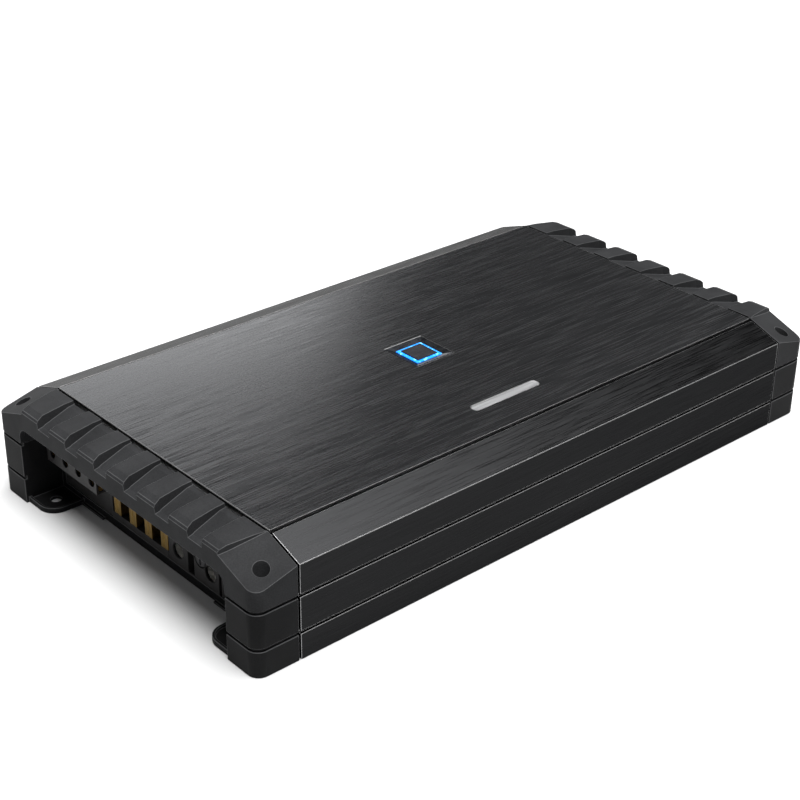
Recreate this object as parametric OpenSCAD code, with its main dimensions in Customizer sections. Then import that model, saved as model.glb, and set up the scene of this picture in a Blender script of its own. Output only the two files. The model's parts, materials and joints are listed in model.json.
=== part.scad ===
// Car audio amplifier: a low aluminium housing with two lift-off end covers.
// X is the long way, Y the width and Z up. The origin is the centre of the base.

/* [Housing] */
// Overall length along X
amp_l = 372; // [366:1:400]
// Overall width along Y
amp_w = 210; // [206:1:220]
// Overall height
amp_h = 56.5; // [56.5:0.5:60]
// Thickness of the top plate
plate_t = 2; // [1.6:0.1:2.4]
// Dark gap round the top plate
plate_gap = 1.3; // [0.8:0.1:1.6]
// Length of each end cover along X
cover_l = 23.3; // [22.5:0.1:24]
// Radius of the four vertical corners
corner_r = 6; // [4:0.5:8]

/* [Side rails] */
// Width of each side rail
rail_w = 21; // [20:0.5:22]
// Height where the rail's slanted top strip meets its side
shoulder_z = 49.1; // [48:0.1:50]
// Centre height of the upper side groove, where the covers part
upper_groove_z = 33.2; // [32:0.1:34]
// Centre height of the lower side groove
lower_groove_z = 14.2; // [13:0.1:16]
// Height of both grooves
groove_h = 1.6; // [1.2:0.1:2]
// Depth of both grooves
groove_d = 1.5; // [1:0.1:2]
// Wall thickness of the rails
rail_wall = 3; // [2.6:0.1:3.4]

/* [End covers] */
// Number of ridges across a cover
ridge_n = 7; // [7:1:7]
// Spacing of the ridges
ridge_pitch = 24.7; // [24:0.1:25]
// Wall thickness of the moulded covers
cover_wall = 2.4; // [2:0.1:2.6]
// Radius of the bolt well in each corner
well_r = 3.75; // [3.5:0.05:4]
// Height of the cover's end lip above the base
lip_z = 43; // [42.5:0.1:44]

/* [Feet] */
// Radius of the mounting hole in each foot tab
foot_hole_r = 2.75; // [2.5:0.05:3]
// Height of the rim round a foot tab
tab_h = 3; // [2.6:0.1:3.4]

/* [Terminals] */
// Radius of the two power wire holes
power_hole_r = 4; // [3.6:0.05:4.2]
// Radius of the four speaker wire holes
speaker_hole_r = 2.5; // [2.2:0.05:2.7]
// Spacing of the speaker wire holes
speaker_pitch = 11.8; // [11.6:0.1:11.9]
// Spacing of the brass plug contacts
contact_pitch = 13.2; // [13:0.1:13.4]
// Width of each brass plug contact
contact_w = 5.8; // [5:0.1:6]

/* [Inputs] */
// Outer radius of the input jacks' metal sleeves
jack_r = 4.15; // [4.1:0.05:4.2]
// Spacing of the input jacks
jack_pitch = 16; // [15:0.5:17]
// Radius of the level and crossover knobs
knob_r = 3; // [2.8:0.1:3.2]
// Spacing of the knobs
knob_pitch = 15; // [14:0.5:16]
// Travel of a slide switch either way from its middle
switch_travel = 2; // [1.5:0.1:2.2]

/* [Hidden] */
$fn = 48;
e = 0.01;

half_l = amp_l / 2;
half_w = amp_w / 2;
cover_x = half_l - cover_l;           // inner face of a cover's corner blocks
rail_x = cover_x - 1;                 // ends of the side rails
plate_x = cover_x - 0.7;              // ends of the top plate
ridge_x = plate_x + plate_gap + 0.1;  // inner ends of the ridges
leg_y = half_w - rail_w;              // inner faces of the corner legs and rails
plate_y = leg_y + 0.7;                // long edges of the top plate
deck_z = amp_h - plate_t - 0.2;       // underside of the top plate's seat
part_z = upper_groove_z + groove_h / 2;
leg_top_z = upper_groove_z - groove_h / 2;

// Corner bolts and mounting holes, measured from the centre
bolt_x = half_l - 10.5;
bolt_y = half_w - 8.4;
bolt_r = 2;
bolt_head_r = 3.5;
well_floor_z = 37;
bolt_tip_z = 24;
foot_x = half_l - 11.8;
foot_y = 75.5;

// End frame
frame_x = cover_x - 0.5;
frame_face = cover_x + 1.9;
panel_face = cover_x + 1.6;
panel_half_y = leg_y - 3.2;
sill_z = 5;
head_z = 45.5;
frame_top_z = 51.2;

// How far each corner block is tucked under the outermost ridge
block_tuck = 1;
frame_top_y = leg_y - block_tuck - 0.4;

// Slanted top of the corner blocks: its height at the outer edge by the rail and its two slopes
block_z = 49.1;
block_slope_x = 0.26;
block_slope_y = 0.36;

// Circuit board
board_z = 8;
board_t = 1.6;
board_top = board_z + board_t;

// ---------------------------------------------------------------- helpers

// Both ends: child drawn at +X and its mirror at -X
module both_x() {
    children();
    mirror([1, 0, 0]) children();
}

// Both sides: child drawn at +Y and its mirror at -Y
module both_y() {
    children();
    mirror([0, 1, 0]) children();
}

// Box between two corners
module box(a, b) {
    translate(a) cube(b - a);
}

// Solid whose XZ outline runs along Y from y0 to y1
module along_y(y0, y1) {
    translate([0, y1, 0]) rotate([90, 0, 0]) linear_extrude(y1 - y0) children();
}

// Solid whose YZ outline runs along X from x0 to x1
module along_x(x0, x1) {
    translate([x0, 0, 0]) rotate([90, 0, 90]) linear_extrude(x1 - x0) children();
}

// Round bar along X
module bar_x(x0, x1, y, z, r) {
    translate([x0, y, z]) rotate([0, 90, 0]) cylinder(r = r, h = x1 - x0);
}

// Upright round bar
module bar_z(x, y, z0, z1, r) {
    translate([x, y, z0]) cylinder(r = r, h = z1 - z0);
}

// Hexagonal key socket, cut down from the top of an upright screw
module key_socket(x, y, top, across, depth) {
    translate([x, y, top - depth]) cylinder(d = across / cos(30), h = depth + 1, $fn = 6);
}

// ---------------------------------------------------------------- top

badge_y = 0.5;
badge_w = 25;
bezel_in = 16.7;
cap_w = 13.4;
bezel_z = 55.4;
bezel_foot = 52;
guide_foot = 49.6;
cap_z = amp_h - 0.1;
name_y = -62.7;
name_l = 44;
name_w = 5;
name_t = 0.6;

module name_outline(grow) {
    for (s = [-1, 1]) translate([s * (name_l - name_w) / 2, name_y]) circle(r = name_w / 2 + grow);
    translate([0, name_y]) square([name_l - name_w, name_w + 2 * grow], center = true);
}

module top_plate() {
    color("dimgray") difference() {
        box([-plate_x, -plate_y, amp_h - plate_t], [plate_x, plate_y, amp_h]);
        translate([0, badge_y, amp_h - plate_t / 2])
            cube([badge_w + 0.2, badge_w + 0.2, plate_t + 2], center = true);
        translate([0, 0, amp_h - name_t]) linear_extrude(name_t + 1) name_outline(0.1);
    }
}

// Square ring that slopes down from the plate to the light
module badge_bezel() {
    top_r = badge_w / 2 * sqrt(2);
    low_r = bezel_in / 2 * sqrt(2);
    color("black") translate([0, badge_y, 0]) difference() {
        translate([0, 0, bezel_foot]) linear_extrude(amp_h - bezel_foot) square(badge_w, center = true);
        translate([0, 0, bezel_z]) rotate([0, 0, 45])
            cylinder(r1 = low_r, r2 = top_r - 0.4, h = amp_h - bezel_z + e, $fn = 4);
        translate([0, 0, bezel_foot - 1]) linear_extrude(10) square(bezel_in, center = true);
    }
}

// Clear square tube that carries the light up to the badge
module light_guide() {
    color("deepskyblue") translate([0, badge_y, 0]) difference() {
        translate([0, 0, guide_foot])
            linear_extrude(bezel_z + 0.3 - guide_foot) square(bezel_in, center = true);
        translate([0, 0, guide_foot - 1]) linear_extrude(10) square(cap_w, center = true);
    }
}

module badge_cap() {
    color("black") translate([0, badge_y, 0]) {
        translate([0, 0, guide_foot]) linear_extrude(cap_z - guide_foot) square(cap_w, center = true);
    }
}

// Plain, blank name badge, flush in the top plate
module name_plate() {
    color("silver") translate([0, 0, amp_h - name_t]) linear_extrude(name_t) name_outline(0);
}

// ---------------------------------------------------------------- side rails

channel_w = plate_gap + 0.4;
strip_y = plate_y + channel_w;
strip_z = amp_h - 0.75;
inner_wall = 3.4;
flange_w = 6.6;

module rail_outline() {
    difference() {
        union() {
            polygon([[leg_y, 0], [half_w, 0], [half_w, shoulder_z], [strip_y, strip_z],
                [strip_y, deck_z], [leg_y, deck_z]]);
            translate([leg_y - flange_w, 2]) square([flange_w + 1, 3]);
        }
        for (z = [upper_groove_z, lower_groove_z])
            translate([half_w - groove_d, z - groove_h / 2]) square([groove_d + 1, groove_h]);
        rail_cavities();
    }
}

// Three hollow chambers that keep the rail light
module rail_cavities() {
    in_y = leg_y + inner_wall;
    out_y = half_w - rail_wall;
    web = rail_wall / 2;
    translate([in_y, rail_wall]) square([out_y - in_y, lower_groove_z - web - rail_wall]);
    translate([in_y, lower_groove_z + web])
        square([out_y - groove_d - in_y, upper_groove_z - lower_groove_z - 2 * web]);
    polygon([[in_y, upper_groove_z + web], [out_y, upper_groove_z + web],
        [out_y, shoulder_z - rail_wall + 0.8], [in_y + 1, deck_z - rail_wall], [in_y, deck_z - rail_wall]]);
}

module rail() {
    difference() {
        along_x(-rail_x, rail_x) rail_outline();
        for (x = rail_screw_x) bar_z(x, flange_screw_y, 1, 6, 1.55);
    }
}

module front_rail() {
    color("#2b2b2d") mirror([0, 1, 0]) rail();
}

module rear_rail() {
    color("#2b2b2d") rail();
}

// Finned deck under the top plate that spreads the heat to both rails
module heat_spreader() {
    fin_n = 10;
    fin_pitch = 15;
    color("silver") difference() {
        union() {
            box([-rail_x, -leg_y + 0.1, 50.5], [rail_x, leg_y - 0.1, amp_h - plate_t]);
            for (i = [0:fin_n - 1], s = [(i - (fin_n - 1) / 2) * fin_pitch])
                box([-rail_x + 20, s - 0.8, 47], [rail_x - 20, s + 0.8, 51]);
        }
        translate([0, badge_y, 50]) cube([badge_w + 0.4, badge_w + 0.4, 12], center = true);
    }
}

// ---------------------------------------------------------------- base

rail_screw_x = [-140, -70, 0, 70, 140];
flange_screw_y = leg_y - flange_w / 2;
frame_screw_x = cover_x - 6.5;
frame_screw_y = 68;
standoff_x = [-135, -68, 0, 68, 135];
standoff_y = 72;
plate_base_t = 2;

module bottom_plate() {
    color("#3a3a3c") difference() {
        box([-frame_x + 0.1, -leg_y + 0.1, 0], [frame_x - 0.1, leg_y - 0.1, plate_base_t]);
        both_y() for (x = rail_screw_x) countersink(x, flange_screw_y);
        both_x() both_y() countersink(frame_screw_x, frame_screw_y);
    }
}

// Hole for a countersunk screw driven up from below
module countersink(x, y) {
    bar_z(x, y, -1, plate_base_t + 1, 1.6);
    translate([x, y, -e]) cylinder(r1 = 2.9, r2 = 1.6, h = 1.4);
}

module flat_screw(x, y) {
    difference() {
        union() {
            translate([x, y, 0.1]) cylinder(r1 = 2.7, r2 = 1.45, h = 1.3);
            bar_z(x, y, 1, 4.9, 1.45);
        }
        for (a = [0, 90]) translate([x, y, 0]) rotate([0, 0, a]) cube([3.2, 0.6, 1.2], center = true);
    }
}

module bottom_screws() {
    color("silver") {
        both_y() for (x = rail_screw_x) flat_screw(x, flange_screw_y);
        both_x() both_y() flat_screw(frame_screw_x, frame_screw_y);
    }
}

// ---------------------------------------------------------------- end frames

// Plan of a corner block, set in by one amount on its inner faces and by another on its outer ones
module corner_outline(inner, outer) {
    r = corner_r - outer;
    cx = half_l - outer - r;
    cy = half_w - outer - r;
    x0 = cover_x + inner;
    y0 = leg_y + inner;
    translate([x0, y0]) square([cx - x0, half_w - outer - y0]);
    translate([x0, y0]) square([half_l - outer - x0, cy - y0]);
    translate([cx, cy]) circle(r = r);
}

module corner_leg() {
    leg_wall = 2.4;
    low_z = lower_groove_z - groove_h / 2;
    high_z = lower_groove_z + groove_h / 2;
    difference() {
        union() {
            linear_extrude(low_z) corner_outline(0, 0);
            linear_extrude(part_z - 0.2) corner_outline(0, groove_d);
            translate([0, 0, high_z]) linear_extrude(leg_top_z - high_z) corner_outline(0, 0);
        }
        difference() {
            translate([0, 0, 3]) linear_extrude(40) corner_outline(leg_wall, leg_wall + groove_d);
            bar_z(bolt_x, bolt_y, 0, 32, 4.6);
            box([cover_x, bolt_y - 1, 0], [half_l - 1, bolt_y + 1, 28]);
            box([bolt_x - 1, leg_y, 0], [bolt_x + 1, half_w - 2, 28]);
        }
        bar_z(bolt_x, bolt_y, bolt_tip_z - 2, 40, bolt_r + 0.15);
    }
}

// Plan of a foot tab, with its free corner rounded
module tab_outline(inset) {
    r = 9 - inset;
    x1 = half_l - 1.5 - inset;
    y0 = 64.7 + inset;
    translate([frame_face - 1, y0]) square([x1 - r - frame_face + 1, leg_y + 0.2 - y0]);
    translate([frame_face - 1, y0 + r]) square([x1 - frame_face + 1, leg_y + 0.2 - y0 - r]);
    translate([x1 - r, y0 + r]) circle(r = r);
}

module foot_tab() {
    floor_t = 1.8;
    rim = 1.5;
    difference() {
        linear_extrude(tab_h) tab_outline(0);
        translate([0, 0, floor_t]) linear_extrude(5) tab_outline(rim);
        bar_z(foot_x, foot_y, -1, 5, foot_hole_r);
    }
}

// One end's moulding: two legs, two foot tabs and the frame that holds the panel
module end_frame() {
    both_y() {
        corner_leg();
        foot_tab();
        box([frame_x, panel_half_y, 0], [frame_face, leg_y + 0.2, leg_top_z - 1]);
        box([frame_x, panel_half_y, 0], [frame_face, frame_top_y, frame_top_z]);
        box([frame_x, 46, 0], [frame_face + 1.5, 64.9, 1.2]);
        difference() {
            box([frame_screw_x - 6, frame_screw_y - 8, plate_base_t],
                [frame_face, frame_screw_y + 8, sill_z]);
            bar_z(frame_screw_x, frame_screw_y, 1, 6, 1.5);
        }
    }
    box([frame_x, -leg_y, 0], [frame_face, leg_y, sill_z]);
    box([frame_x, -frame_top_y, head_z], [frame_face, frame_top_y, frame_top_z]);
}

module left_end_frame() {
    color("#29292b") mirror([1, 0, 0]) end_frame();
}

module right_end_frame() {
    color("#29292b") end_frame();
}

// ---------------------------------------------------------------- end covers

// Height of the valley floor between two ridges, at a distance x from the centre
floor_points = [[ridge_x - 0.1, 54.6], [ridge_x + 3.2, 54.3], [half_l - 3.3, 50], [half_l, 50]];
function floor_z(x) = lookup(x, floor_points);

// Stations along a ridge: distance from the centre, top height and sideways splay of its front wall
ridge_stations = [[ridge_x, amp_h, 0], [ridge_x + 5.6, 56.4, 0.3], [half_l - 4.5, 55.2, 1.3],
    [half_l - 1, 54, 2.6], [half_l, 52.9, 3.1]];
first_rear_y = 79.6;
first_front_y = 68.6;
wall_draft = 0.23;

// Edge between the outermost ridges and the corner blocks
function block_edge_y(x) = lookup(x, [[ridge_x, leg_y + 0.5], [half_l, leg_y - 4]]);

// One ridge between two edges given as lists, one value per station
module ridge(rear, front) {
    n = len(ridge_stations);
    points = [for (k = [0:n - 1])
        let (s = ridge_stations[k], low = floor_z(s[0]) - 1.2, drop = wall_draft * (s[1] - low))
            each [[s[0], front[k], s[1]], [s[0], rear[k], s[1]], [s[0], rear[k], low],
                [s[0], front[k] - drop, low]]];
    sides = [for (k = [0:n - 2], j = [0:3])
        let (a = 4 * k + j, b = 4 * k + (j + 1) % 4)
            each [[a, b, a + 4], [b, b + 4, a + 4]]];
    last = 4 * (n - 1);
    polyhedron(points = points, faces = concat(sides, [[3, 2, 1, 0], [last, last + 1, last + 2, last + 3]]));
}

module ridges() {
    for (i = [0:ridge_n - 1]) {
        rear = [for (s = ridge_stations) i == 0 ? block_edge_y(s[0]) : first_rear_y - ridge_pitch * i];
        front = [for (s = ridge_stations)
            i == ridge_n - 1 ? -block_edge_y(s[0]) : first_front_y - ridge_pitch * i - s[2]];
        ridge(rear, front);
    }
}

// Thin shell over the wiring bay, with the end lip
module bay_roof() {
    t = cover_wall;
    lip_x = half_l - t - 0.2;
    along_y(-leg_y - 0.8, leg_y + 0.8)
        polygon(concat(floor_points, [[half_l, lip_z], [lip_x, lip_z], [lip_x, 50 - t],
            [half_l - 3.7, 50 - t], [ridge_x + 2.9, 54.2 - t], [ridge_x - 0.1, 54.5 - t]]));
    both_y() lip_corner(lip_x);
}

// Rounded corner of the end opening, between the lip and a leg
module lip_corner(lip_x) {
    r = 5.5;
    difference() {
        box([lip_x, leg_y - r, lip_z - r], [half_l, leg_y + 0.8, lip_z + 1]);
        bar_x(lip_x - 1, half_l + 1, leg_y - r, lip_z - r, r);
    }
}

// Everything above the slanted top of a corner block, moved down by drop
module above_block(drop) {
    n = sqrt(1 + block_slope_x * block_slope_x + block_slope_y * block_slope_y);
    translate([cover_x, half_w, block_z - drop])
        rotate([-asin(block_slope_y / n), atan(block_slope_x), 0])
            translate([-60, -60, 0]) cube([120, 120, 60]);
}

// Screw well block at a cover's corner, tucked a little way under the outermost ridge
module corner_block() {
    difference() {
        union() {
            translate([0, 0, part_z]) linear_extrude(40) corner_outline(0, 0);
            translate([0, 0, 49]) linear_extrude(20) polygon([[cover_x, leg_y - block_tuck],
                [ridge_x, block_edge_y(ridge_x) - block_tuck],
                [half_l, block_edge_y(half_l) - block_tuck],
                [half_l, leg_y + 1], [cover_x, leg_y + 1]]);
        }
        above_block(0);
        translate([cover_x - 1, 0, amp_h - 0.2]) cube([cover_l + 2, half_w + 1, 20]);
        difference() {
            translate([0, 0, part_z - 1]) linear_extrude(40) corner_outline(cover_wall, cover_wall);
            above_block(cover_wall + 0.3);
            bar_z(bolt_x, bolt_y, part_z - 2, 60, well_r + 2.2);
        }
        bar_z(bolt_x, bolt_y, well_floor_z, 70, well_r);
        bar_z(bolt_x, bolt_y, part_z - 2, well_floor_z + 1, bolt_r + 0.3);
    }
}

module end_cover() {
    bay_roof();
    ridges();
    both_y() corner_block();
}

module left_cover() {
    color("#3c3c3e") mirror([1, 0, 0]) end_cover();
}

module right_cover() {
    color("#3c3c3e") end_cover();
}

module cover_bolts(side) {
    x = side * bolt_x;
    both_y() difference() {
        union() {
            bar_z(x, bolt_y, well_floor_z, well_floor_z + 4, bolt_head_r);
            bar_z(x, bolt_y, bolt_tip_z, well_floor_z + 1, bolt_r);
        }
        key_socket(x, bolt_y, well_floor_z + 4, 3.4, 2.4);
    }
}

module left_cover_bolts() {
    color("#1c1c1e") cover_bolts(-1);
}

module right_cover_bolts() {
    color("#1c1c1e") cover_bolts(1);
}

// ---------------------------------------------------------------- terminal end

panel_t = 2;
panel_back = panel_face - panel_t;
block_face = frame_face + 0.1;

// Four-way clamp block for speaker wires, held out from the panel under the cover
speaker_face = cover_x + 11.6;
speaker_back = cover_x - 11;
speaker_low = 22.6;
speaker_top = 40;
speaker_y0 = 35.2;
speaker_y1 = 80;
speaker_z = 28;
speaker_y = [for (i = [0:3]) 75 - i * speaker_pitch];

// Contacts of the speaker plug socket, standing in an open recess
contact_y = [for (i = [0:3]) 33.5 - i * contact_pitch];
socket_y0 = -9.4;
socket_y1 = 34.8;
socket_low = 9;
socket_top = 31;
socket_depth = 11;
socket_step_y = 38.6;
socket_step_z = speaker_low - 0.2;
contact_top = 21.6;

// Power block
power_y0 = -49.4;
power_y1 = -9.6;
power_z = 13.2;
power_y = [-17.2, -42.6];
power_back = cover_x - 20;
power_step_z = 24;
power_top_z = 34;
clamp_len = 15.2;
clamp_front = block_face - 1.6;
screw_tilt = 30;

module terminal_panel() {
    color("#262628") mirror([1, 0, 0]) difference() {
        box([panel_back, -panel_half_y + 0.1, sill_z + 0.1], [panel_face, panel_half_y - 0.1, head_z - 0.1]);
        box([panel_back - 1, speaker_y0 - 0.1, speaker_low - 0.1],
            [panel_face + 1, speaker_y1 + 0.1, speaker_top + 0.1]);
        box([panel_back - 1, socket_y0 - 0.1, sill_z - 1],
            [panel_face + 1, socket_y1 + 0.1, socket_top + 3]);
        box([panel_back - 1, socket_y1, sill_z - 1], [panel_face + 1, socket_step_y + 0.1, speaker_low]);
        box([panel_back - 1, power_y0 - 1.3, sill_z - 1], [panel_face + 1, power_y1 + 0.1, power_top_z + 6]);
    }
}

module speaker_block() {
    pocket = 8.6;
    color("#38383a") mirror([1, 0, 0]) difference() {
        box([speaker_back, speaker_y0, speaker_low], [speaker_face, speaker_y1, speaker_top]);
        for (y = speaker_y) {
            bar_x(speaker_face - 3, speaker_face + 1, y, speaker_z, speaker_hole_r);
            box([speaker_back + 2, y - pocket / 2, speaker_z - 4],
                [speaker_face - 1.2, y + pocket / 2, speaker_z + 6]);
            bar_z(speaker_face - 6, y, speaker_z, speaker_top + 1, 2.4);
        }
        box([speaker_back + 3, speaker_y0 - 1, speaker_z - 4],
            [speaker_face - 1.2, speaker_y[3], speaker_z + 6]);
    }
}

// Brass clamp bodies behind the speaker wire holes
module speaker_clamps() {
    color("#b5893c") mirror([1, 0, 0]) for (y = speaker_y) difference() {
        box([speaker_back + 2.1, y - 4.2, speaker_z - 3.9], [speaker_face - 1.3, y + 4.2, speaker_z + 5.9]);
        bar_x(speaker_back + 8, speaker_face, y, speaker_z, speaker_hole_r);
        bar_z(speaker_face - 6, y, speaker_z, speaker_top, 1.85);
    }
}

module speaker_screws() {
    color("silver") mirror([1, 0, 0]) for (y = speaker_y) difference() {
        bar_z(speaker_face - 6, y, speaker_z + speaker_hole_r + 0.1, speaker_top - 1, 1.8);
        translate([speaker_face - 6, y, speaker_top - 1]) cube([5, 0.7, 1.6], center = true);
    }
}

// Open-fronted housing round the plug contacts
module plug_socket() {
    back = block_face - socket_depth;
    color("#2c2a2b") mirror([1, 0, 0]) difference() {
        union() {
            box([back - 3, socket_y0, sill_z + 0.1], [block_face, socket_y1, socket_top + 2.9]);
            box([back - 3, socket_y1 - 2, sill_z + 0.1], [block_face, socket_step_y, socket_step_z]);
        }
        box([back, socket_y0 - 1, socket_low], [block_face + 1, socket_y1 - 1, socket_top]);
        box([back, socket_y1 - 2, socket_low], [block_face + 1, socket_step_y - 1, contact_top + 0.2]);
    }
}

module plug_contacts() {
    back = block_face - socket_depth;
    color("#b5893c") mirror([1, 0, 0]) for (y = contact_y) difference() {
        box([back, y - contact_w / 2, socket_low], [block_face, y + contact_w / 2, contact_top]);
        box([block_face - 0.5, y - 0.45, socket_low + 1.4], [block_face + 1, y + 0.45, contact_top - 1]);
    }
}

// Outline of the power block: upright wire face, then a slope square to the clamp screws
module power_profile() {
    run = (power_top_z - power_step_z) / tan(screw_tilt);
    polygon([[power_back, sill_z + 0.1], [block_face, sill_z + 0.1], [block_face, power_step_z],
        [block_face - run, power_top_z], [power_back, power_top_z]]);
}

// Line of a power clamp screw: up and outward from the wire
module along_screw(y) {
    translate([block_face - 9, y, power_z]) rotate([0, screw_tilt, 0]) children();
}

module power_block() {
    color("#343436") mirror([1, 0, 0]) difference() {
        along_y(power_y0, power_y1) power_profile();
        for (y = power_y) {
            bar_x(block_face - 2, block_face + 1, y, power_z, power_hole_r);
            box([clamp_front - clamp_len, y - 6.1, power_z - 6], [clamp_front, y + 6.1, power_z + 7.6]);
            along_screw(y) cylinder(r = 3.4, h = 40);
        }
        remote_slot();
        bar_x(block_face - 1.2, block_face + 1, remote_y, remote_z, 4.4);
        bar_x(block_face - 8, block_face + 1, remote_y, remote_z, 1.6);
    }
}

remote_y = -34.9;
remote_z = 17.4;

// Slot for the remote turn-on wire, beside its clamp screw
module remote_slot() {
    box([block_face - 7, -30, sill_z + 1], [block_face + 1, -25.2, 17]);
}

module power_clamps() {
    color("#c9c4b8") mirror([1, 0, 0]) for (y = power_y) difference() {
        box([clamp_front - clamp_len + 0.1, y - 6, power_z - 5.9],
            [clamp_front - 0.1, y + 6, power_z + 7.5]);
        bar_x(block_face - 15, block_face, y, power_z, power_hole_r);
        along_screw(y) cylinder(r = 2.6, h = 20);
    }
}

module power_screws() {
    color("#505054") mirror([1, 0, 0]) for (y = power_y) along_screw(y) difference() {
        translate([0, 0, power_hole_r / cos(screw_tilt) + 1.8]) cylinder(r = 2.55, h = 8);
        translate([0, 0, power_hole_r / cos(screw_tilt) + 7.4]) cylinder(d = 3 / cos(30), h = 4, $fn = 6);
    }
}

module remote_screw() {
    color("#5a5a5e") mirror([1, 0, 0]) difference() {
        union() {
            bar_x(block_face - 1.2, block_face - 0.1, remote_y, remote_z, 3.7);
            bar_x(block_face - 7.5, block_face - 1, remote_y, remote_z, 1.5);
        }
        box([block_face - 0.7, remote_y - 0.5, remote_z - 3], [block_face, remote_y + 0.5, remote_z + 3]);
    }
}

// ---------------------------------------------------------------- input end

jack_y = [for (i = [0:3]) 66 - i * jack_pitch];
jack_z = 22;
jack_out = 10;
collar_r = jack_r + 0.9;
knob_y = [for (i = [0:3]) -8 - i * knob_pitch];
knob_z = 30;
knob_out = panel_face + 2;
switch_y = [-12, -30, -48];
switch_z = 14;
nub_w = 3.6;
nub_h = 3;
led_y = [-66, -72];

module input_panel() {
    slot_w = nub_w + 2 * switch_travel + 0.6;
    color("#262628") difference() {
        box([panel_back, -panel_half_y + 0.1, sill_z + 0.1], [panel_face, panel_half_y - 0.1, head_z - 0.1]);
        for (y = jack_y) bar_x(panel_back - 1, panel_face + 1, y, jack_z, collar_r + 0.15);
        for (y = knob_y) bar_x(panel_back - 1, panel_face + 1, y, knob_z, knob_r + 0.4);
        for (y = switch_y)
            translate([panel_face - 1, y, switch_z]) cube([6, slot_w, nub_h + 0.6], center = true);
        for (y = led_y) bar_x(panel_back - 1, panel_face + 1, y, knob_z, 1.6);
    }
}

module jack_block() {
    color("#1e1e20") difference() {
        box([panel_back - 14, jack_y[3] - 7.5, jack_z - 8], [panel_back - 0.1, jack_y[0] + 7.5, jack_z + 8]);
        for (y = jack_y) bar_x(panel_back - 8, panel_back + 1, y, jack_z, collar_r + 0.1);
    }
}

// Plated sleeves, each with a wider collar that passes through the panel
module jack_sleeves() {
    color("silver") for (y = jack_y) difference() {
        union() {
            bar_x(panel_back - 8, panel_face, y, jack_z, collar_r);
            bar_x(panel_back - 8, panel_face + jack_out, y, jack_z, jack_r);
        }
        bar_x(panel_back - 9, panel_face + jack_out + 1, y, jack_z, jack_r - 0.8);
    }
}

// White insulators that hold the centre contacts
module jack_inserts() {
    color("white") for (y = jack_y) difference() {
        bar_x(panel_back - 7.5, panel_face + 4, y, jack_z, jack_r - 0.85);
        bar_x(panel_back - 4, panel_face + 5, y, jack_z, 1.65);
    }
}

// Knob with a screwdriver slot, turning on its shaft
module knob(i) {
    color("#1a1a1c") difference() {
        union() {
            bar_x(panel_back - 3, knob_out, knob_y[i], knob_z, knob_r);
            bar_x(panel_back - 8, panel_back, knob_y[i], knob_z, 1.5);
        }
        translate([knob_out, knob_y[i], knob_z]) cube([2.4, 0.9, 5], center = true);
    }
}

module front_gain_knob() {
    knob(0);
}

module rear_gain_knob() {
    knob(1);
}

module front_crossover_knob() {
    knob(2);
}

module rear_crossover_knob() {
    knob(3);
}

// Potentiometers behind the knobs
module knob_bodies() {
    color("#4c4c50") for (y = knob_y) difference() {
        box([panel_back - 12, y - 5, knob_z - 5.5], [panel_back - 3.4, y + 5, knob_z + 5.5]);
        bar_x(panel_back - 8.4, panel_back, y, knob_z, 1.56);
    }
}

module switch_nub(i) {
    color("#d8d8d8") {
        translate([panel_face, switch_y[i], switch_z]) cube([4.4, nub_w, nub_h], center = true);
        translate([panel_back - 1.1, switch_y[i], switch_z])
            cube([1.9, nub_w + 2, nub_h + 1.4], center = true);
    }
}

module input_switch() {
    switch_nub(0);
}

module front_filter_switch() {
    switch_nub(1);
}

module rear_filter_switch() {
    switch_nub(2);
}

// Metal cases that the switch sliders run in
module switch_bodies() {
    case_w = nub_w + 2 * switch_travel + 4;
    color("#9a9a9e") for (y = switch_y) difference() {
        translate([panel_back - 3.6, y, switch_z]) cube([7, case_w, 8.4], center = true);
        translate([panel_back - 0.1, y, switch_z])
            cube([4.4, nub_w + 2 * switch_travel + 2.6, nub_h + 2], center = true);
    }
}

module status_leds() {
    color("#3f6f3f") for (y = led_y) bar_x(panel_back - 4, panel_face + 0.6, y, knob_z, 1.5);
}

// ---------------------------------------------------------------- electronics

board_half_x = 156;
cap_r = 9;
cap_h = 30;
coil_r = 11;
core_r = 22;
core_hole = 9;
core_h = 22;
transformer_x = [-90, -42];
transistor_x = [for (i = [0:9]) -126 + i * 28];
small_cap_xy = [for (x = [30, 48, 66], y = [-24, -8, 8]) [x, y]];
large_cap_xy = [for (x = [-118, -14, 92], y = [-58, -37, 37, 58]) [x, y]];

module main_board() {
    color("#1d4a2c") difference() {
        box([-board_half_x, -78, board_z], [board_half_x, 78, board_top]);
        box([-board_half_x - 1, power_y0 - 1, board_z - 1],
            [0.3 - power_back, socket_step_y + 1, board_top + 1]);
        for (x = standoff_x) both_y() bar_z(x, standoff_y, board_z - 1, board_top + 1, 1.6);
    }
}

module board_standoffs() {
    color("silver") for (x = standoff_x) both_y() {
        bar_z(x, standoff_y, plate_base_t, board_z, 2.6);
        bar_z(x, standoff_y, board_z - 1, board_top + 0.2, 1.5);
        bar_z(x, standoff_y, board_top + 0.1, board_top + 1.8, 2.7);
    }
}

// Board that lights the badge from below
module led_board() {
    color("#1d4a2c") box([-11, badge_y - 11, 47.2], [11, badge_y + 11, 48.6]);
    color("#1d4a2c") for (s = [-1, 1]) bar_z(s * 9, badge_y, board_top, 47.3, 1.5);
}

module badge_leds() {
    offset_r = (bezel_in + cap_w) / 4;
    color("white") for (a = [0:90:270]) translate([0, badge_y, 48.6]) rotate([0, 0, a])
        translate([offset_r - 1, -1.6, 0]) cube([2, 3.2, 0.9]);
}

module transformer_cores() {
    color("#2f3b36") for (x = transformer_x) difference() {
        bar_z(x, 0, board_top + 3, board_top + core_h - 3, core_r - 3);
        bar_z(x, 0, board_top, board_top + core_h, core_hole + 3);
    }
}

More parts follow.
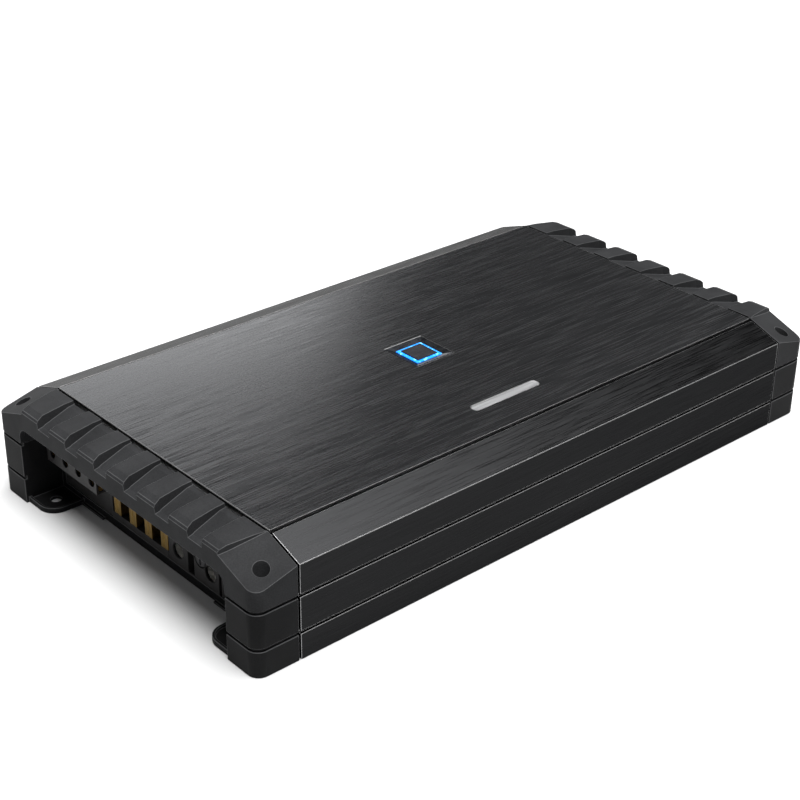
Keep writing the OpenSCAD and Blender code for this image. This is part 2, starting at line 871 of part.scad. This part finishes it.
// Copper windings wrapped right round each ring core
module transformer_windings() {
    color("#a8612c") for (x = transformer_x) difference() {
        bar_z(x, 0, board_top, board_top + core_h, core_r);
        bar_z(x, 0, board_top - 1, board_top + core_h + 1, core_hole);
        difference() {
            bar_z(x, 0, board_top + 2.9, board_top + core_h - 2.9, core_r - 2.9);
            bar_z(x, 0, board_top, board_top + core_h, core_hole + 2.9);
        }
    }
}

module capacitor(x, y, r, h) {
    difference() {
        bar_z(x, y, board_top, board_top + h, r);
        translate([x, y, board_top + 3]) rotate_extrude() translate([r, 0]) circle(r = 0.6);
        for (a = [0, 90])
            translate([x, y, board_top + h]) rotate([0, 0, a]) cube([r, 0.5, 0.6], center = true);
    }
}

module large_capacitors() {
    color("#22304a") for (p = large_cap_xy) capacitor(p[0], p[1], cap_r, cap_h);
}

module small_capacitors() {
    color("#22304a") for (p = small_cap_xy) capacitor(p[0], p[1], 6.3, 25);
}

module output_coils() {
    color("#a8612c") for (x = [36, 66], s = [-1, 1]) difference() {
        bar_z(x, s * 48, board_top, board_top + 12, coil_r);
        bar_z(x, s * 48, board_top - 1, board_top + 13, 4.5);
    }
}

// Cranked leg that drops from a transistor's lower edge into the board
module transistor_leg(x) {
    box([x - 0.6, leg_y - 7.2, board_top], [x + 0.6, leg_y - 6.6, board_top + 8]);
    box([x - 0.6, leg_y - 7.2, board_top + 7.4], [x + 0.6, leg_y - 5.1, board_top + 8]);
}

// Power transistors standing against a rail, with three legs in the board
module transistors() {
    for (x = transistor_x) {
        box([x - 8, leg_y - 5.2, board_top + 7], [x + 8, leg_y - 0.1, board_top + 27]);
        for (k = [-1:1]) transistor_leg(x + k * 5);
    }
}

module front_transistors() {
    color("#18181a") mirror([0, 1, 0]) transistors();
}

module rear_transistors() {
    color("#18181a") transistors();
}

// Bar that presses the transistors against a rail, with its screws
module clamp_bar() {
    z = board_top + 18;
    box([-138, leg_y - 8.4, z - 5], [138, leg_y - 5.3, z + 5]);
    for (i = [0:4]) translate([-112 + i * 56, leg_y - 8.4, z]) rotate([90, 0, 0]) cylinder(r = 3, h = 2.4);
}

module front_clamp_bar() {
    color("silver") mirror([0, 1, 0]) clamp_bar();
}

module rear_clamp_bar() {
    color("silver") clamp_bar();
}

// Small upright board that carries the input circuit
module preamp_board() {
    color("#1d4a2c") box([112, -62, board_top], [113.6, 62, board_top + 26]);
    color("#18181a") for (y = [-48:24:48]) box([113.6, y - 7, board_top + 8], [116, y + 7, board_top + 18]);
}

// ---------------------------------------------------------------- nodes

top_plate();
badge_bezel();
light_guide();
badge_cap();
name_plate();
front_rail();
rear_rail();
heat_spreader();
bottom_plate();
bottom_screws();
left_end_frame();
right_end_frame();
left_cover();
right_cover();
left_cover_bolts();
right_cover_bolts();
terminal_panel();
speaker_block();
speaker_clamps();
speaker_screws();
plug_socket();
plug_contacts();
power_block();
power_clamps();
power_screws();
remote_screw();
input_panel();
jack_block();
jack_sleeves();
jack_inserts();
front_gain_knob();
rear_gain_knob();
front_crossover_knob();
rear_crossover_knob();
knob_bodies();
input_switch();
front_filter_switch();
rear_filter_switch();
switch_bodies();
status_leds();
main_board();
board_standoffs();
led_board();
badge_leds();
transformer_cores();
transformer_windings();
large_capacitors();
small_capacitors();
output_coils();
front_transistors();
rear_transistors();
front_clamp_bar();
rear_clamp_bar();
preamp_board();
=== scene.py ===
"""Looks for the car amplifier: materials, softened edges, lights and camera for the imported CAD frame."""

import json
import math

import bmesh
import bpy
from mathutils import Matrix, Vector


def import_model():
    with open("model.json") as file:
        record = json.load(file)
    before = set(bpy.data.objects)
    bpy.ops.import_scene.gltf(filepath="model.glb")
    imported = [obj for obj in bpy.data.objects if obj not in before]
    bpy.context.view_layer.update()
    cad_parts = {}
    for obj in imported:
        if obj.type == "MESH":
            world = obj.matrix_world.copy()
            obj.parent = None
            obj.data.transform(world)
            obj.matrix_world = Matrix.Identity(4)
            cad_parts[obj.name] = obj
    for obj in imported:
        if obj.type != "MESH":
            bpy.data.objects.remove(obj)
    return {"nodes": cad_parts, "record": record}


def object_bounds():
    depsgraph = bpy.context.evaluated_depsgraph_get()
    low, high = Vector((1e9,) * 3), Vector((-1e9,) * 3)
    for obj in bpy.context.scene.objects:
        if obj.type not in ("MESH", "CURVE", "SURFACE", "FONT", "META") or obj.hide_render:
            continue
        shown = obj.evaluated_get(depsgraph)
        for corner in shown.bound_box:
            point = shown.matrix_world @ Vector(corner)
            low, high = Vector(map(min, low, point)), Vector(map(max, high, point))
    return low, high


MM = 0.001

# Angles in degrees, from +X and above the floor; distances in lengths of the amplifier
VIEW_AZIMUTH = -131.68
VIEW_ELEVATION = 28.27
VIEW_ROLL = 0.69
VIEW_DISTANCE = 2.3594
VIEW_SHIFT = (-0.0206, 0.0165, 0)
VIEW_LENS = 75.76
VIEW_SENSOR = 36

MERGE_DISTANCE = 0.004 * MM
FLAT_ANGLE = 0.6
SHARP_ANGLE = 20
EDGE_SEGMENTS = 2

FLOOR_REACH = 40
FLOOR_GAP = 0.05 * MM


# ---------------------------------------------------------------- shader helpers


def new_material(name):
    """A new node material and its main shader."""
    mat = bpy.data.materials.new(name)
    mat.use_nodes = True
    return mat, mat.node_tree.nodes["Principled BSDF"]


def link(mat, source, target):
    mat.node_tree.links.new(source, target)


def coords(mat, stretch=(1, 1, 1)):
    """Object coordinates in metres, stretched along each axis."""
    where = mat.node_tree.nodes.new("ShaderNodeTexCoord")
    mapping = mat.node_tree.nodes.new("ShaderNodeMapping")
    mapping.inputs["Scale"].default_value = stretch
    link(mat, where.outputs["Object"], mapping.inputs["Vector"])
    return mapping.outputs["Vector"]


def noise(mat, grain, stretch=(1, 1, 1), detail=3.0, rough=0.5):
    """Noise whose features measure about grain metres."""
    node = mat.node_tree.nodes.new("ShaderNodeTexNoise")
    node.inputs["Scale"].default_value = 1.0 / grain
    node.inputs["Detail"].default_value = detail
    node.inputs["Roughness"].default_value = rough
    link(mat, coords(mat, stretch), node.inputs["Vector"])
    return node.outputs["Fac"]


def cells(mat, grain, stretch=(1, 1, 1)):
    """Distance to the nearest point of a cell pattern with cells of about grain metres."""
    node = mat.node_tree.nodes.new("ShaderNodeTexVoronoi")
    node.inputs["Scale"].default_value = 1.0 / grain
    link(mat, coords(mat, stretch), node.inputs["Vector"])
    return node.outputs["Distance"]


def remap(mat, value, low, high, to_low, to_high):
    """Value between low and high, spread over to_low to to_high."""
    node = mat.node_tree.nodes.new("ShaderNodeMapRange")
    node.inputs["From Min"].default_value = low
    node.inputs["From Max"].default_value = high
    node.inputs["To Min"].default_value = to_low
    node.inputs["To Max"].default_value = to_high
    link(mat, value, node.inputs["Value"])
    return node.outputs["Result"]


def tint(mat, value, dark, light, low=0.3, high=0.7):
    """Colour that runs from dark to light as value goes from low to high."""
    node = mat.node_tree.nodes.new("ShaderNodeValToRGB")
    node.color_ramp.elements[0].position = low
    node.color_ramp.elements[0].color = (*dark, 1)
    node.color_ramp.elements[1].position = high
    node.color_ramp.elements[1].color = (*light, 1)
    link(mat, value, node.inputs["Fac"])
    return node.outputs["Color"]


def blend(mat, a, b, kind="MULTIPLY", share=1.0):
    """Two colours combined."""
    node = mat.node_tree.nodes.new("ShaderNodeMix")
    node.data_type = "RGBA"
    node.blend_type = kind
    node.inputs["Factor"].default_value = share
    link(mat, a, node.inputs["A"])
    link(mat, b, node.inputs["B"])
    return node.outputs["Result"]


def combine(mat, a, b, operation="ADD"):
    """Two values combined."""
    node = mat.node_tree.nodes.new("ShaderNodeMath")
    node.operation = operation
    link(mat, a, node.inputs[0])
    link(mat, b, node.inputs[1])
    return node.outputs["Value"]


def bump(mat, shader, height, depth, strength):
    """Relief of the given depth in metres."""
    node = mat.node_tree.nodes.new("ShaderNodeBump")
    node.inputs["Distance"].default_value = depth
    node.inputs["Strength"].default_value = strength
    link(mat, height, node.inputs["Height"])
    link(mat, node.outputs["Normal"], shader.inputs["Normal"])


def times(color, k):
    return tuple(min(1.0, c * k) for c in color)


# ---------------------------------------------------------------- materials


def brushed(name, color, rough, contrast, spread=0.05, relief=0.1, grazing=0.6):
    """Aluminium brushed along X: long fine lines in colour, roughness and relief."""
    mat, shader = new_material(name)
    fine = noise(mat, 0.7 * MM, (0.03, 1, 1), detail=2.0)
    coarse = noise(mat, 1.5 * MM, (0.04, 1, 1), detail=1.0)
    broad = noise(mat, 60 * MM, (0.5, 1, 1), detail=2.0)
    lines = combine(mat, remap(mat, fine, 0.3, 0.7, 0, 0.7), remap(mat, coarse, 0.3, 0.7, 0, 0.3))
    base = tint(mat, lines, times(color, 1 - contrast), times(color, 1 + contrast), 0.15, 0.85)
    cloud = tint(mat, broad, (0.95, 0.95, 0.95), (1, 1, 1), 0.35, 0.65)
    link(mat, blend(mat, base, cloud), shader.inputs["Base Color"])
    link(mat, remap(mat, lines, 0.1, 0.9, rough - spread, rough + spread), shader.inputs["Roughness"])
    shader.inputs["Metallic"].default_value = 1.0
    shader.inputs["Specular Tint"].default_value = (grazing, grazing, grazing, 1)
    shader.inputs["Anisotropic"].default_value = 0.6
    way = mat.node_tree.nodes.new("ShaderNodeTangent")
    way.direction_type = "RADIAL"
    way.axis = "Y"
    link(mat, way.outputs["Tangent"], shader.inputs["Tangent"])
    bump(mat, shader, lines, 0.03 * MM, relief)
    return mat


def moulded(name, color, rough, grain, relief, gloss=0.3):
    """Moulded plastic with a fine spark-eroded texture, faint flow marks and a little dust."""
    mat, shader = new_material(name)
    texture = noise(mat, grain, detail=4.0, rough=0.6)
    flow = noise(mat, 25 * MM, (1, 1.6, 1), detail=3.0)
    dust = noise(mat, 1.1 * MM, detail=6.0, rough=0.75)
    base = tint(mat, flow, times(color, 0.85), times(color, 1.15), 0.35, 0.65)
    specks = tint(mat, texture, (0.7, 0.7, 0.7), (1, 1, 1), 0.35, 0.65)
    film = tint(mat, dust, (0, 0, 0), times((1, 1, 1.02), 0.006), 0.62, 0.8)
    worn = blend(mat, blend(mat, base, specks), film, "ADD")
    link(mat, worn, shader.inputs["Base Color"])
    link(mat, remap(mat, texture, 0.3, 0.7, rough - 0.08, rough + 0.08), shader.inputs["Roughness"])
    shader.inputs["Specular IOR Level"].default_value = gloss
    bump(mat, shader, texture, 0.06 * MM, relief)
    return mat


def plain_metal(name, color, rough, streak=(1, 1, 0.1)):
    """Bare or plated metal with fine tool marks and dull patches."""
    mat, shader = new_material(name)
    marks = noise(mat, 0.35 * MM, streak, detail=3.0)
    patches = noise(mat, 4 * MM, detail=4.0)
    base = tint(mat, marks, times(color, 0.82), times(color, 1.08), 0.3, 0.7)
    dull = tint(mat, patches, (0.8, 0.79, 0.77), (1, 1, 1), 0.35, 0.6)
    link(mat, blend(mat, base, dull), shader.inputs["Base Color"])
    link(mat, remap(mat, patches, 0.3, 0.7, rough + 0.1, rough - 0.06), shader.inputs["Roughness"])
    shader.inputs["Metallic"].default_value = 1.0
    bump(mat, shader, marks, 0.02 * MM, 0.15)
    return mat


def painted_metal(name, color, rough):
    """Powder-coated sheet metal with an orange-peel surface."""
    mat, shader = new_material(name)
    peel = noise(mat, 0.8 * MM, detail=2.0)
    cloud = noise(mat, 30 * MM, detail=3.0)
    link(mat, tint(mat, cloud, times(color, 0.85), times(color, 1.2)), shader.inputs["Base Color"])
    link(mat, remap(mat, peel, 0.3, 0.7, rough - 0.06, rough + 0.08), shader.inputs["Roughness"])
    shader.inputs["Specular IOR Level"].default_value = 0.35
    bump(mat, shader, peel, 0.05 * MM, 0.3)
    return mat


def glossy(name, color, rough, grain=6 * MM):
    """Smooth glossy plastic with faint smears."""
    mat, shader = new_material(name)
    smear = noise(mat, grain, (1, 3, 1), detail=5.0)
    ripple = noise(mat, 1.5 * MM, detail=1.0)
    link(mat, tint(mat, smear, times(color, 0.88), times(color, 1.12)), shader.inputs["Base Color"])
    link(mat, remap(mat, smear, 0.35, 0.65, rough, rough + 0.09), shader.inputs["Roughness"])
    bump(mat, shader, ripple, 0.01 * MM, 0.2)
    return mat


def lit_ring(name, deep, bright, strength):
    """Light guide: blue between its lights, nearly white above them."""
    mat, shader = new_material(name)
    spots = cells(mat, 3.2 * MM, (1, 1, 0.01))
    haze = noise(mat, 2.5 * MM, detail=2.0)
    glow = combine(mat, remap(mat, spots, 0.05, 0.6, 1, 0), remap(mat, haze, 0.3, 0.7, 0.4, 1), "MULTIPLY")
    color = tint(mat, glow, deep, bright, 0.25, 0.8)
    link(mat, color, shader.inputs["Emission Color"])
    link(mat, color, shader.inputs["Base Color"])
    link(mat, remap(mat, glow, 0, 1, strength * 0.7, strength * 1.3), shader.inputs["Emission Strength"])
    link(mat, remap(mat, haze, 0.3, 0.7, 0.2, 0.35), shader.inputs["Roughness"])
    return mat


def circuit(name, color):
    """Solder-masked board with faint copper tracks under the mask."""
    mat, shader = new_material(name)
    tracks = mat.node_tree.nodes.new("ShaderNodeTexBrick")
    tracks.inputs["Scale"].default_value = 1.0 / (9 * MM)
    tracks.inputs["Mortar Size"].default_value = 0.05
    tracks.inputs["Mortar Smooth"].default_value = 0.1
    tracks.inputs["Color1"].default_value = (*times(color, 0.8), 1)
    tracks.inputs["Color2"].default_value = (*color, 1)
    tracks.inputs["Mortar"].default_value = (*times(color, 1.9), 1)
    link(mat, coords(mat), tracks.inputs["Vector"])
    weave = noise(mat, 0.5 * MM, detail=1.0)
    shade = tint(mat, weave, (0.85, 0.85, 0.85), (1, 1, 1))
    link(mat, blend(mat, tracks.outputs["Color"], shade), shader.inputs["Base Color"])
    link(mat, remap(mat, weave, 0.3, 0.7, 0.25, 0.4), shader.inputs["Roughness"])
    bump(mat, shader, tracks.outputs["Fac"], 0.03 * MM, 0.5)
    return mat


def windings(name, color):
    """Lacquered copper wire wound side by side."""
    mat, shader = new_material(name)
    turns = mat.node_tree.nodes.new("ShaderNodeTexWave")
    turns.inputs["Scale"].default_value = 1.0 / (6 * MM)
    turns.inputs["Distortion"].default_value = 0.6
    link(mat, coords(mat), turns.inputs["Vector"])
    tone = noise(mat, 3 * MM, detail=3.0)
    # The colour darkens to about a third in the grooves between turns: painted shade.
    base = tint(mat, turns.outputs["Fac"], times(color, 0.35), color, 0.1, 0.6)
    shade = tint(mat, tone, (0.75, 0.7, 0.68), (1, 1, 1))
    link(mat, blend(mat, base, shade), shader.inputs["Base Color"])
    link(mat, remap(mat, tone, 0.3, 0.7, 0.25, 0.42), shader.inputs["Roughness"])
    shader.inputs["Metallic"].default_value = 0.85
    bump(mat, shader, turns.outputs["Fac"], 0.2 * MM, 0.6)
    return mat


def clear_green(name, color):
    """Tinted clear light window."""
    mat, shader = new_material(name)
    haze = noise(mat, 0.8 * MM, detail=3.0)
    link(mat, tint(mat, haze, times(color, 0.7), times(color, 1.1)), shader.inputs["Base Color"])
    link(mat, remap(mat, haze, 0.3, 0.7, 0.08, 0.2), shader.inputs["Roughness"])
    link(mat, tint(mat, haze, times(color, 0.8), color), shader.inputs["Emission Color"])
    shader.inputs["Emission Strength"].default_value = 0.25
    bump(mat, shader, haze, 0.02 * MM, 0.2)
    return mat


def slot_materials():
    """One material for each material slot of the record."""
    return {
        "brushed_top": brushed("brushed_top", (0.18, 0.182, 0.187), 0.25, 0.1, 0.09, 0.06),
        "rail_metal": brushed("rail_metal", (0.0195, 0.0197, 0.0203), 0.3, 0.14, 0.09, 0.06, 0.45),
        "cover_plastic": moulded("cover_plastic", (0.026, 0.0264, 0.0276), 0.52, 0.7 * MM, 0.55, 0.03),
        "frame_plastic": moulded("frame_plastic", (0.0115, 0.0116, 0.012), 0.5, 0.6 * MM, 0.35, 0.04),
        "terminal_plastic": moulded("terminal_plastic", (0.024, 0.0232, 0.0235), 0.45, 0.4 * MM, 0.25, 0.2),
        "base_metal": painted_metal("base_metal", (0.03, 0.03, 0.032), 0.45),
        "brass": plain_metal("brass", (0.26, 0.17, 0.055), 0.42),
        "nickel": plain_metal("nickel", (0.93, 0.92, 0.9), 0.42),
        "black_steel": painted_metal("black_steel", (0.02, 0.02, 0.022), 0.35),
        "steel": plain_metal("steel", (0.6, 0.6, 0.61), 0.3),
        "deck_aluminium": plain_metal("deck_aluminium", (0.6, 0.6, 0.61), 0.4, (0.02, 1, 1)),
        "badge_black": glossy("badge_black", (0.012, 0.012, 0.014), 0.18),
        "bezel_metal": plain_metal("bezel_metal", (0.055, 0.058, 0.066), 0.25),
        "badge_light": lit_ring("badge_light", (0.01, 0.22, 0.9), (0.35, 0.85, 1.0), 1.6),
        "name_metal": brushed("name_metal", (0.85, 0.85, 0.86), 0.45, 0.08),
        "circuit_board": circuit("circuit_board", (0.015, 0.09, 0.035)),
        "component_black": moulded("component_black", (0.015, 0.015, 0.016), 0.45, 0.3 * MM, 0.3, 0.35),
        "capacitor_sleeve": glossy("capacitor_sleeve", (0.02, 0.035, 0.09), 0.3),
        "copper": windings("copper", (0.6, 0.26, 0.1)),
        "ferrite": moulded("ferrite", (0.04, 0.055, 0.048), 0.6, 0.6 * MM, 0.4, 0.3),
        "white_plastic": glossy("white_plastic", (0.72, 0.72, 0.7), 0.35),
        "led_green": clear_green("led_green", (0.06, 0.35, 0.1)),
    }


def dress(frame, materials):
    """Gives every CAD node the material of its slot."""
    for part in frame["record"]["subparts"]:
        node = frame["nodes"][part["node"]]
        material = materials[part["material_slot"]]
        for place in node.material_slots:
            place.material = material


# ---------------------------------------------------------------- edges


def soften(node, width, edge_material=None):
    """Merges the node's faces, then rounds its sharp edges, in their own material if one is given."""
    weld = node.modifiers.new("weld", "WELD")
    weld.merge_threshold = MERGE_DISTANCE
    flat = node.modifiers.new("flat", "DECIMATE")
    flat.decimate_type = "DISSOLVE"
    flat.angle_limit = math.radians(FLAT_ANGLE)
    edge = node.modifiers.new("edge", "BEVEL")
    edge.width = width
    edge.segments = EDGE_SEGMENTS
    edge.limit_method = "ANGLE"
    edge.angle_limit = math.radians(SHARP_ANGLE)
    edge.harden_normals = True
    edge.use_clamp_overlap = False
    if edge_material:
        node.data.materials.append(edge_material)
        edge.material = len(node.data.materials) - 1


def edge_widths():
    """Width of the rounded edges, in millimetres, of each node that shows."""
    return {
        "top_plate": 0.4,
        "badge_bezel": 0.25,
        "badge_cap": 0.3,
        "front_rail": 0.25,
        "rear_rail": 0.25,
        "left_cover": 0.2,
        "right_cover": 0.2,
        "left_end_frame": 0.35,
        "right_end_frame": 0.35,
        "left_cover_bolts": 0.2,
        "right_cover_bolts": 0.2,
        "terminal_panel": 0.2,
        "speaker_block": 0.2,
        "plug_socket": 0.2,
        "plug_contacts": 0.3,
        "power_block": 0.25,
        "remote_screw": 0.12,
        "input_panel": 0.2,
        "jack_sleeves": 0.15,
        "bottom_plate": 0.2,
    }


def edge_materials():
    """Nodes whose rounded edges get a lighter material, as painted highlight lines: metal on the metal
    parts, plastic on the covers and frames.
    """
    # Lighter metal colour on the rounded edges: painted highlight lines.
    bright = plain_metal("painted_edge_highlight_metal", (0.32, 0.32, 0.325), 0.42, (0.05, 1, 1))
    # Lighter, glossier plastic on the rounded edges: painted highlight lines.
    edge_highlight_plastic = moulded("painted_edge_highlight_plastic", (0.06, 0.061, 0.063), 0.45, 0.7 * MM, 0.2, 0.16)
    return {
        "top_plate": bright,
        "front_rail": bright,
        "rear_rail": bright,
        "left_cover": edge_highlight_plastic,
        "right_cover": edge_highlight_plastic,
        "left_end_frame": edge_highlight_plastic,
        "right_end_frame": edge_highlight_plastic,
    }


def soften_all(frame):
    special = edge_materials()
    for name, width in edge_widths().items():
        soften(frame["nodes"][name], width * MM, special.get(name))


# ---------------------------------------------------------------- stage


def floor(bounds):
    """Wide pale studio floor just below the amplifier."""
    low, high = bounds
    reach = FLOOR_REACH * (high.x - low.x)
    mesh = bpy.data.meshes.new("floor")
    work = bmesh.new()
    bmesh.ops.create_grid(work, x_segments=8, y_segments=8, size=reach)
    work.to_mesh(mesh)
    work.free()
    piece = bpy.data.objects.new("floor", mesh)
    piece.location.z = low.z - FLOOR_GAP
    bpy.context.scene.collection.objects.link(piece)
    mat, shader = new_material("studio_floor")
    tone = noise(mat, 0.2, detail=3.0)
    link(mat, tint(mat, tone, (0.6, 0.6, 0.6), (0.62, 0.62, 0.62)), shader.inputs["Base Color"])
    link(mat, remap(mat, tone, 0.3, 0.7, 0.75, 0.85), shader.inputs["Roughness"])
    shader.inputs["Specular IOR Level"].default_value = 0.1
    mesh.materials.append(mat)


def direction(azimuth, elevation):
    """Unit vector towards a direction given in degrees from +X and above the floor."""
    a = math.radians(azimuth)
    e = math.radians(elevation)
    return Vector((math.cos(e) * math.cos(a), math.cos(e) * math.sin(a), math.sin(e)))


def place_lamp(data, centre, out, distance):
    """Puts a lamp at a distance from centre, aimed back at it."""
    lamp = bpy.data.objects.new(data.name, data)
    lamp.location = centre + out * distance
    lamp.rotation_mode = "QUATERNION"
    lamp.rotation_quaternion = (-out).to_track_quat("-Z", "Y")
    bpy.context.scene.collection.objects.link(lamp)


def softbox(name, centre, azimuth, elevation, distance, size, power):
    """Rectangular soft light."""
    data = bpy.data.lights.new(name, "AREA")
    data.shape = "RECTANGLE"
    data.size = size[0]
    data.size_y = size[1]
    data.energy = power
    place_lamp(data, centre, direction(azimuth, elevation), distance)


def ceiling_light(name, centre, azimuth, elevation, spread, strength):
    """Broad even light over the whole floor; spread is the angle it fills, in degrees."""
    data = bpy.data.lights.new(name, "SUN")
    data.angle = math.radians(spread)
    data.energy = strength
    place_lamp(data, centre, direction(azimuth, elevation), 3)


def lights(bounds):
    low, high = bounds
    centre = (low + high) / 2
    softbox("overhead_soft", centre, 20, 70, 2.4, (1.0, 1.0), 28)
    ceiling_light("top_fill", centre, -100, 78, 36, 5.2)
    softbox("front_right_soft", centre, -38, 38, 2.2, (1.2, 1.0), 5.0)
    softbox("rear_left_soft", centre, 68.5, 17, 2.2, (1.25, 0.85), 9.5)
    softbox("left_rim", centre, 125, 24, 2.0, (0.9, 0.6), 2.2)
    softbox("rear_right_soft", centre, 16, 12, 2.2, (0.7, 0.4), 1.0)
    world = bpy.data.worlds.new("studio")
    world.use_nodes = True
    back = world.node_tree.nodes["Background"]
    back.inputs["Color"].default_value = (0.97, 0.98, 1.0, 1)
    back.inputs["Strength"].default_value = 0.15
    bpy.context.scene.world = world


def camera(bounds):
    """Camera above the near corner of the terminal end, with a slight roll."""
    low, high = bounds
    length = high.x - low.x
    target = (low + high) / 2 + Vector(VIEW_SHIFT) * length
    out = direction(VIEW_AZIMUTH, VIEW_ELEVATION)
    data = bpy.data.cameras.new("camera")
    data.lens = VIEW_LENS
    data.sensor_width = VIEW_SENSOR
    piece = bpy.data.objects.new("camera", data)
    turn = (-out).to_track_quat("-Z", "Y").to_matrix().to_4x4()
    roll = Matrix.Rotation(math.radians(VIEW_ROLL), 4, "Z")
    piece.matrix_world = Matrix.Translation(target + out * length * VIEW_DISTANCE) @ turn @ roll
    bpy.context.scene.collection.objects.link(piece)
    bpy.context.scene.camera = piece


def main():
    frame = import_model()
    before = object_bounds()
    dress(frame, slot_materials())
    soften_all(frame)
    floor(before)
    lights(before)
    camera(before)
    bpy.context.scene.view_settings.view_transform = "Standard"


main()
